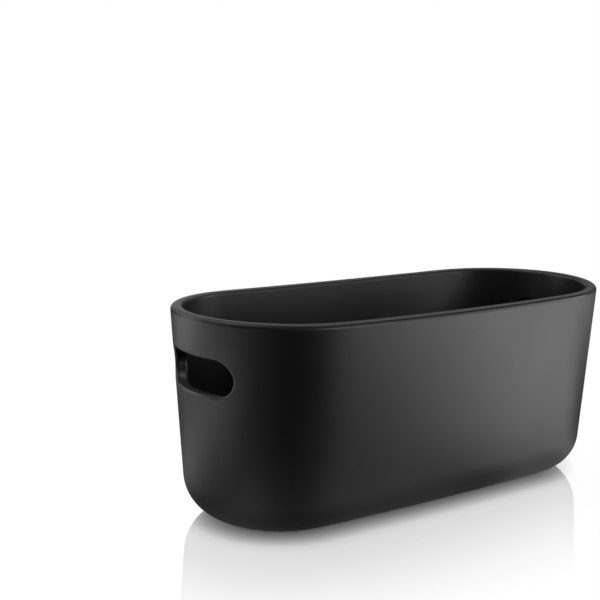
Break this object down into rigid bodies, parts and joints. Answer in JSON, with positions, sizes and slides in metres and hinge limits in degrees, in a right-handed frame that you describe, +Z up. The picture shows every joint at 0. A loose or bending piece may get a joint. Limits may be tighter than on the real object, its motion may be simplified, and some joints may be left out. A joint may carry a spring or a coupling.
{
  "type": "herb planter",
  "caption": "Low oblong planter tub with rounded ends, thick leaning walls, a finger slot through each end and soft pads under the base.",
  "frame": {"origin": "on the resting plane, under the middle of the tub", "axes": "+Z up, X along the tub through the finger slots, Y across it, front on the -Y side"},
  "size_m": [0.3598, 0.1575, 0.15],
  "materials": {
    "body_glaze": "satin",
    "foot_pad": "matte"
  },
  "bodies": {
    "root": {"planter_body": "body_glaze", "foot_front_left": "foot_pad", "foot_front_right": "foot_pad", "foot_rear_left": "foot_pad", "foot_rear_right": "foot_pad"}
  },
  "joints": []
}
